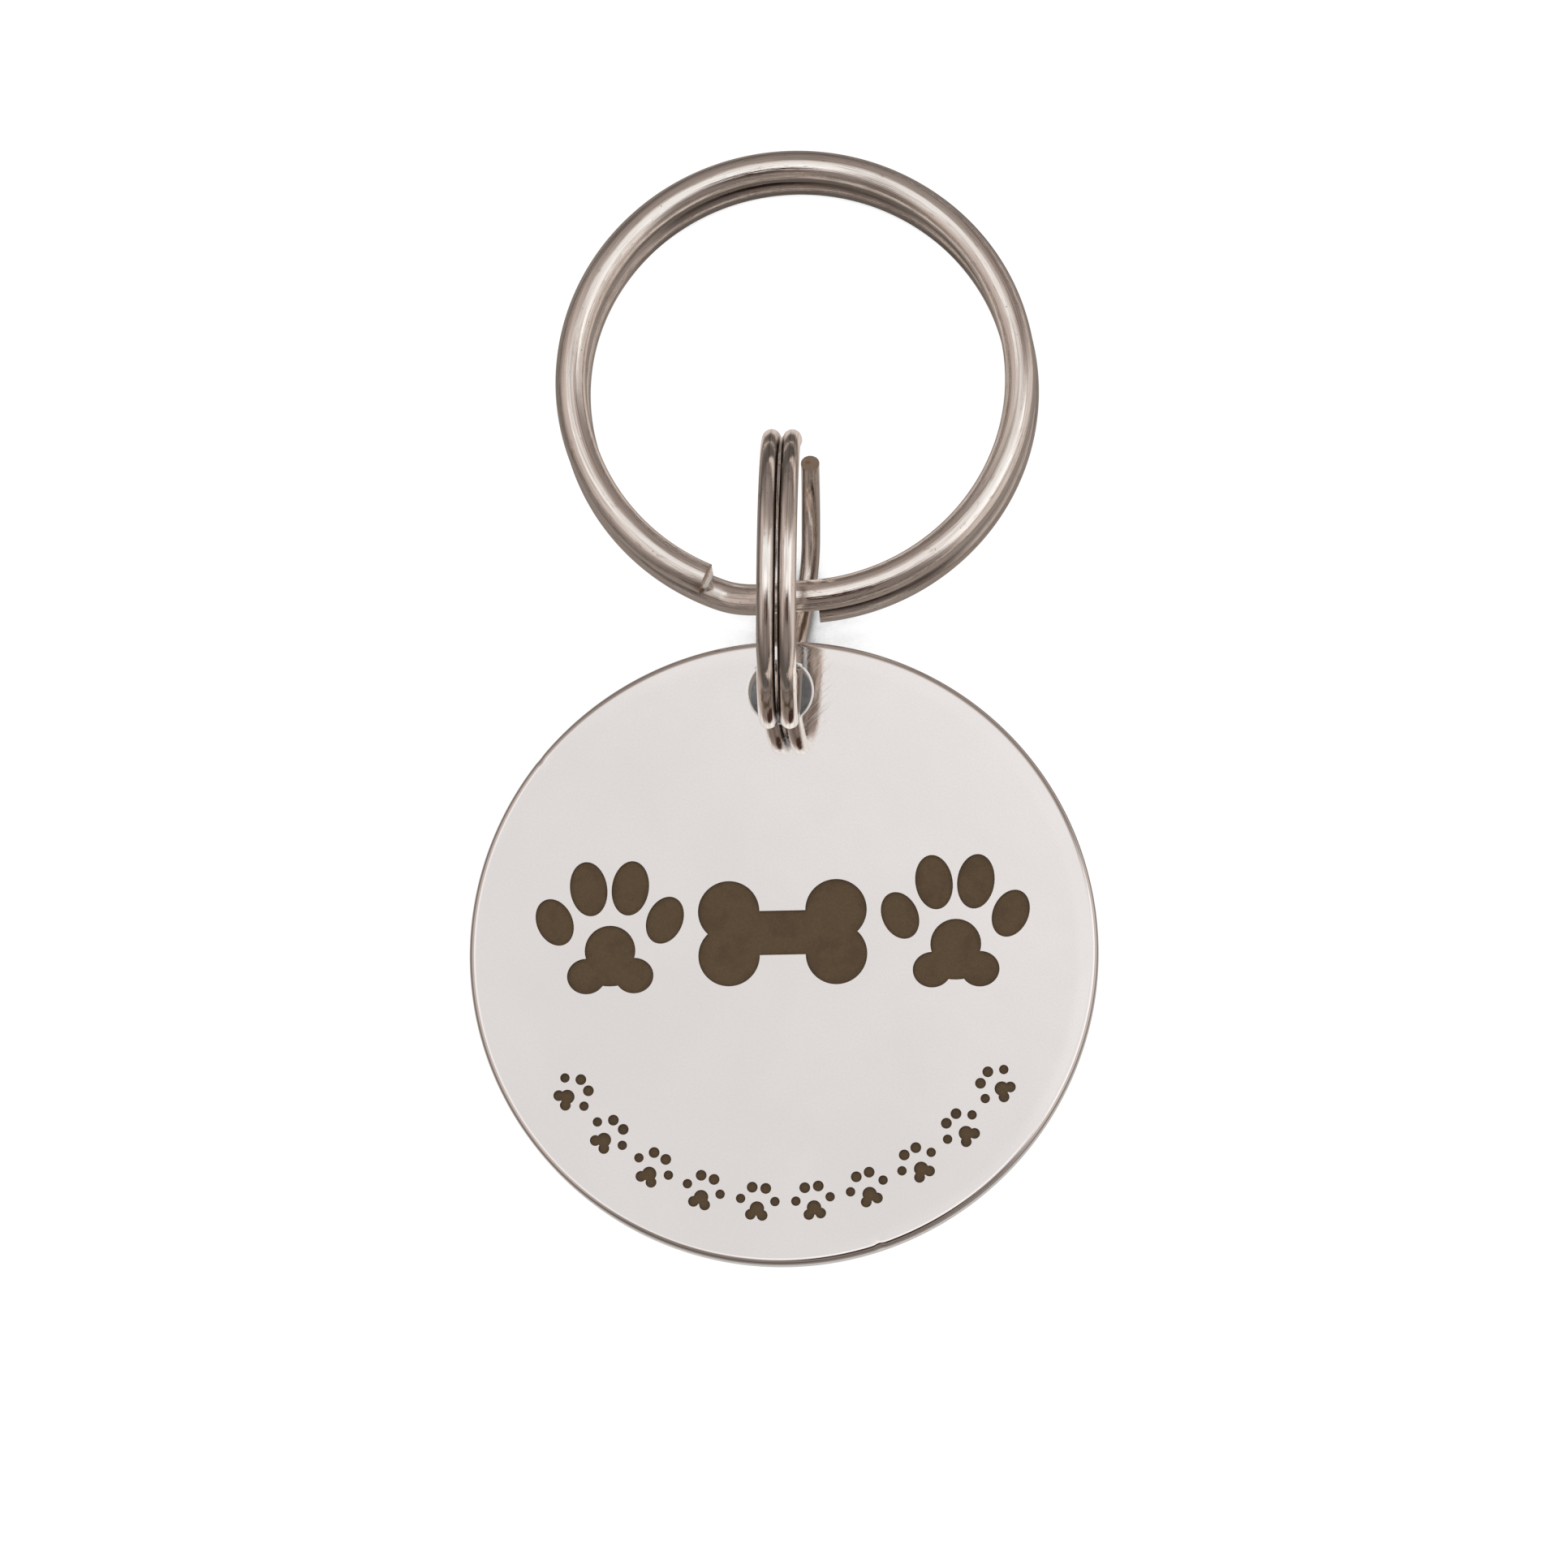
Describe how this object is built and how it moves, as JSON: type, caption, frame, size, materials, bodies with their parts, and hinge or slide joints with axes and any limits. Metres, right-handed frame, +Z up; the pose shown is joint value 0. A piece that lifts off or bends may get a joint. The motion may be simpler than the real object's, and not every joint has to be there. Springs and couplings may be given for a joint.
{
  "type": "pet id tag",
  "caption": "Round polished metal pet identity tag, engraved with paw prints and a bone, hung by a small split ring from a larger split ring that a collar takes.",
  "frame": {"origin": "on the table, under the middle of the whole tag as it lies flat with its rings", "axes": "+X to the right across the disc, +Y from the disc towards the large ring, +Z up from the table"},
  "size_m": [0.032, 0.058, 0.0152],
  "materials": {
    "tag_steel": "polished stainless steel with a fine grain, engraved marks filled dark brown",
    "ring_wire": "bright nickel-plated round steel wire, slightly worn, copper-brown at cut ends and contacts"
  },
  "bodies": {
    "large_ring": {"large_split_ring": "ring_wire"},
    "small_ring": {"small_split_ring": "ring_wire"},
    "tag": {"tag_disc": "tag_steel"}
  },
  "joints": [
    {"name": "ring_swing", "type": "hinge", "parent": "large_ring", "child": "small_ring", "pos_m": [-0.00031, 0.00513, 0.0028], "axis": [1, 0, 0], "range_deg": [-110, 110]},
    {"name": "tag_swing", "type": "hinge", "parent": "small_ring", "child": "tag", "pos_m": [-0.00031, 0.00513, 0.0076], "axis": [1, 0, 0], "range_deg": [-200, 4]}
  ]
}
